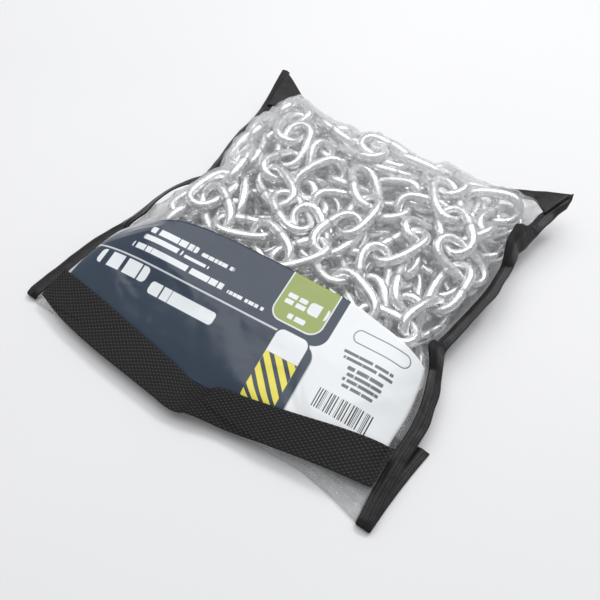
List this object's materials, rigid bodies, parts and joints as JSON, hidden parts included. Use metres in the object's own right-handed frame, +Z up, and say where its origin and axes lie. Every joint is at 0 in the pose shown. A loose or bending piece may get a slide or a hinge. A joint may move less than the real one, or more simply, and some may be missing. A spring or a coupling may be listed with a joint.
{
  "type": "bagged heap of steel chain",
  "caption": "Loose heap of zinc-plated steel proof-coil chain lying in a flat clear pouch with black bound edges, a printed sheet and a webbing strap across its near end.",
  "frame": {"origin": "middle of the bounding box in plan, at the floor", "axes": "+Y from the strap end to the far end, +X to the right as seen from the strap end, +Z up"},
  "size_m": [0.3012, 0.3109, 0.0476],
  "materials": {
    "clear_film": "glossy clear plastic film with soft wrinkles",
    "black_tape": "satin black binding tape",
    "black_webbing": "coarse basket-woven black webbing",
    "printed_sheet": "glossy print on plastic film",
    "zinc_plated_steel": "bright zinc plate on drawn wire"
  },
  "bodies": {
    "root": {"binding_far": "black_tape", "binding_left": "black_tape", "binding_right": "black_tape", "chain_core": "zinc_plated_steel", "chain_run_01": "zinc_plated_steel", "chain_run_02": "zinc_plated_steel", "chain_run_03": "zinc_plated_steel", "chain_run_04": "zinc_plated_steel", "chain_run_05": "zinc_plated_steel", "chain_run_06": "zinc_plated_steel", "chain_run_07": "zinc_plated_steel", "film_back": "clear_film", "film_front": "clear_film", "handle_strap": "black_webbing", "label_panel": "printed_sheet"}
  },
  "joints": []
}
